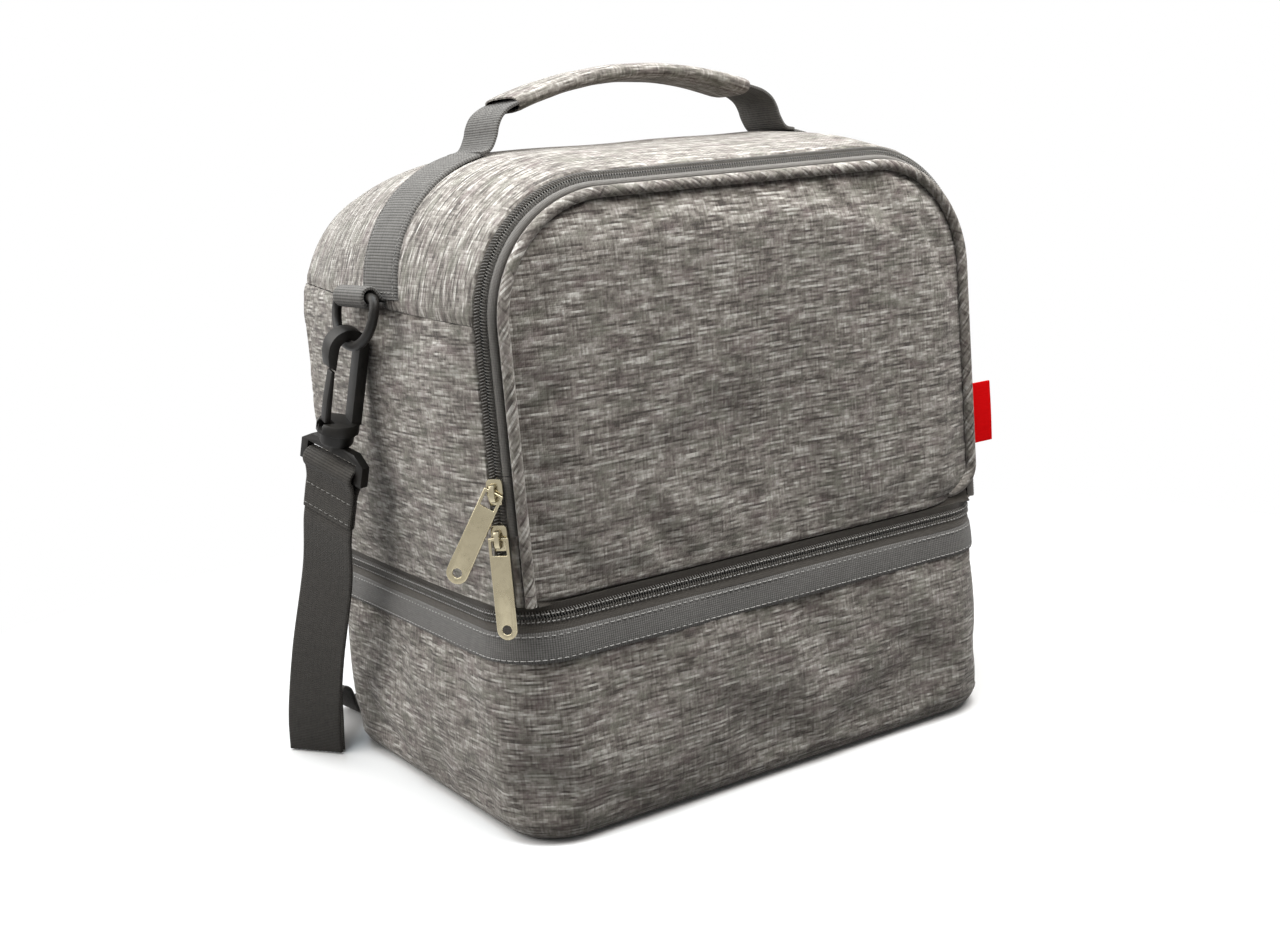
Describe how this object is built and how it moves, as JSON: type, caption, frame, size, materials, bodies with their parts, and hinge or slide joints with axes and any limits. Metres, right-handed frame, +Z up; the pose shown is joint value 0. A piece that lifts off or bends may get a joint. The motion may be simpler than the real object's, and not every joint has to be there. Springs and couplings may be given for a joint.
{
  "type": "insulated bento bag",
  "caption": "Soft insulated lunch bag with a zipped base compartment, an upper part that tilts back, an arched front flap, a carry handle and a clip-on shoulder strap.",
  "frame": {"origin": "on the floor under the middle of the base", "axes": "+X to the right seen from the front, +Y to the back, +Z up"},
  "size_m": [0.3146, 0.2445, 0.3076],
  "materials": {
    "melange": "matte grey melange weave",
    "webbing": "matte ribbed webbing",
    "strap_webbing": "matte dark ribbed webbing",
    "zip_tape": "matte woven tape",
    "zip_coil": "satin nylon coil",
    "insulation_foam": "matte closed-cell foam",
    "foil_lining": "satin silver film",
    "base_board": "matte",
    "hardware_plastic": "satin black",
    "pull_metal": "antique satin",
    "red_tab": "matte"
  },
  "bodies": {
    "base": {"base_shell": "melange", "base_board": "base_board", "base_foam": "insulation_foam", "base_lining": "foil_lining", "binding_band": "webbing", "base_zip_tape_lower": "zip_tape", "base_zip_coil_lower": "zip_coil", "strap_floor_run": "strap_webbing", "back_hinge": "melange"},
    "upper": {"gusset_top": "melange", "side_panel_left": "melange", "side_panel_right": "melange", "back_panel": "melange", "divider_floor": "foil_lining", "gusset_foam": "insulation_foam", "back_foam": "insulation_foam", "gusset_lining": "foil_lining", "back_lining": "foil_lining", "base_zip_tape_upper": "zip_tape", "base_zip_coil_upper": "zip_coil", "arch_zip_tape": "zip_tape", "arch_zip_coil": "zip_coil", "zip_end_tape": "zip_tape", "zip_end_tab": "melange", "front_sill": "melange", "handle_strip_left": "webbing", "handle_strip_right": "webbing", "ring_loop_left": "webbing", "ring_loop_right": "webbing", "side_tab": "red_tab", "strap_drop_left": "strap_webbing", "strap_drop_right": "strap_webbing"},
    "flap": {"front_panel": "melange", "flap_foam": "insulation_foam", "flap_lining": "foil_lining", "flap_piping": "melange", "flap_zip_tape": "zip_tape", "flap_zip_coil": "zip_coil"},
    "slider_a": {"first_slider": "pull_metal"},
    "pull_a": {"first_pull": "pull_metal"},
    "slider_b": {"second_slider": "pull_metal"},
    "pull_b": {"second_pull": "pull_metal"},
    "zip_slider": {"base_slider": "pull_metal"},
    "zip_pull": {"base_pull": "pull_metal"},
    "handle_left": {"handle_leg_left": "webbing"},
    "handle_grip": {"grip_sleeve": "melange", "grip_core": "webbing"},
    "handle_right": {"handle_leg_right": "webbing"},
    "adjuster": {"strap_adjuster": "hardware_plastic"},
    "ring_left": {"strap_ring_left": "hardware_plastic", "snap_hook_left": "hardware_plastic"},
    "gate_left": {"hook_gate_left": "hardware_plastic"},
    "swivel_left": {"swivel_frame_left": "hardware_plastic", "strap_end_left": "strap_webbing"},
    "ring_right": {"strap_ring_right": "hardware_plastic", "snap_hook_right": "hardware_plastic"},
    "gate_right": {"hook_gate_right": "hardware_plastic"},
    "swivel_right": {"swivel_frame_right": "hardware_plastic", "strap_end_right": "strap_webbing"}
  },
  "joints": [
    {"name": "upper_tilt", "type": "hinge", "parent": "base", "child": "upper", "pos_m": [0, 0.0972, 0.095], "axis": [-1, 0, 0], "range_deg": [0, 95], "deforming": ["back_hinge", "strap_drop_left", "strap_drop_right"]},
    {"name": "flap_open", "type": "hinge", "parent": "upper", "child": "flap", "pos_m": [0, -0.0955, 0.1048], "axis": [1, 0, 0], "range_deg": [0, 115]},
    {"name": "slider_a_travel", "type": "slide", "parent": "upper", "child": "slider_a", "axis": [0, 0, 1], "range_m": [0, 0.045]},
    {"name": "pull_a_swing", "type": "hinge", "parent": "slider_a", "child": "pull_a", "pos_m": [-0.12564, -0.09029, 0.147], "axis": [-0.6124, 0.6124, 0.5], "range_deg": [0, 150]},
    {"name": "slider_b_travel", "type": "slide", "parent": "upper", "child": "slider_b", "axis": [0, 0, 1], "range_m": [-0.014, 0]},
    {"name": "pull_b_swing", "type": "hinge", "parent": "slider_b", "child": "pull_b", "pos_m": [-0.12564, -0.09029, 0.129], "axis": [-0.7071, 0.7071, 0], "range_deg": [0, 150]},
    {"name": "zip_slider_travel", "type": "slide", "parent": "base", "child": "zip_slider", "axis": [0, -1, 0], "range_m": [0, 0.1]},
    {"name": "zip_pull_swing", "type": "hinge", "parent": "zip_slider", "child": "zip_pull", "pos_m": [0.1299, 0.052, 0.095], "axis": [0, -0.5, -0.866], "range_deg": [0, 150]},
    {"name": "handle_lean", "type": "hinge", "parent": "upper", "child": "handle_left", "pos_m": [-0.072, -0.008, 0.27681], "axis": [0, 1, 0], "range_deg": [-20, 20], "stiffness_Nm_per_rad": 0.06},
    {"name": "grip_level", "type": "hinge", "parent": "handle_left", "child": "handle_grip", "pos_m": [-0.057, -0.008, 0.29481], "axis": [0, 1, 0], "range_deg": [-26, 26]},
    {"name": "handle_follow", "type": "hinge", "parent": "upper", "child": "handle_right", "pos_m": [0.072, -0.008, 0.27681], "axis": [0, 1, 0], "range_deg": [-21, 21]},
    {"name": "ring_swing_left", "type": "hinge", "parent": "upper", "child": "ring_left", "pos_m": [-0.13754, -0.008, 0.22065], "axis": [0, 1, 0], "range_deg": [0, 25], "deforming": ["strap_drop_left"]},
    {"name": "gate_open_left", "type": "hinge", "parent": "ring_left", "child": "gate_left", "pos_m": [-0.15121, 0.00613, 0.172], "axis": [0, 0.9536, 0.3011], "range_deg": [0, 16], "stiffness_Nm_per_rad": 0.02},
    {"name": "hook_swivel_left", "type": "hinge", "parent": "ring_left", "child": "swivel_left", "pos_m": [-0.142, -0.004, 0.20409], "axis": [0.0999, -0.2996, 0.9488], "range_deg": [-60, 25], "deforming": ["strap_drop_left"]},
    {"name": "ring_swing_right", "type": "hinge", "parent": "upper", "child": "ring_right", "pos_m": [0.13754, -0.008, 0.22065], "axis": [0, -1, 0], "range_deg": [0, 25], "deforming": ["strap_drop_right"]},
    {"name": "gate_open_right", "type": "hinge", "parent": "ring_right", "child": "gate_right", "pos_m": [0.15121, 0.00613, 0.172], "axis": [0, -0.9536, -0.3011], "range_deg": [0, 16], "stiffness_Nm_per_rad": 0.02},
    {"name": "hook_swivel_right", "type": "hinge", "parent": "ring_right", "child": "swivel_right", "pos_m": [0.142, -0.004, 0.20409], "axis": [0.0999, 0.2996, -0.9488], "range_deg": [-60, 25], "deforming": ["strap_drop_right"]},
    {"name": "adjuster_travel", "type": "slide", "parent": "base", "child": "adjuster", "axis": [1, 0, 0], "range_m": [-0.06, 0.06]}
  ],
  "couplings": [
    {"joint": "grip_level", "follows": "handle_lean", "ratio": -1.263},
    {"joint": "handle_follow", "follows": "handle_lean", "ratio": 1}
  ]
}
